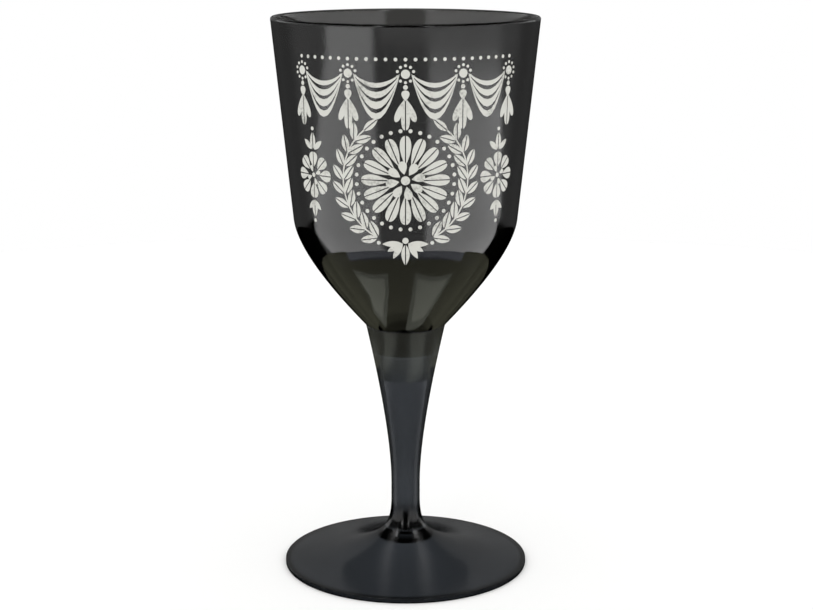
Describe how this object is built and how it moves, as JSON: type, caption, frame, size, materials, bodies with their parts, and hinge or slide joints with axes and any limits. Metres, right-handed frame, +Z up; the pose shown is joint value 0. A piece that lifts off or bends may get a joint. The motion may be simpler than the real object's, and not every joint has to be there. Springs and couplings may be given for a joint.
{
  "type": "push-together plastic goblet",
  "caption": "Smoked plastic goblet with a tapered bowl, a flared hollow stem and a round trumpet foot that push together.",
  "frame": {"origin": "centre of the foot's standing ring, on the table", "axes": "+Z up along the goblet's axis of revolution; -Y is the front, where the printed ornament is"},
  "size_m": [0.0848, 0.0848, 0.18],
  "materials": {
    "smoked_plastic": "gloss, see-through smoke grey",
    "dark_plastic": "gloss, deep smoke grey that lets little light through"
  },
  "bodies": {
    "foot": {"foot": "dark_plastic"},
    "stem": {"stem": "dark_plastic"},
    "bowl": {"bowl": "smoked_plastic"}
  },
  "joints": [
    {"name": "stem_lift", "type": "slide", "parent": "foot", "child": "stem", "axis": [0, 0, 1], "range_m": [0, 0.01]},
    {"name": "bowl_lift", "type": "slide", "parent": "stem", "child": "bowl", "axis": [0, 0, 1], "range_m": [0, 0.014]}
  ]
}
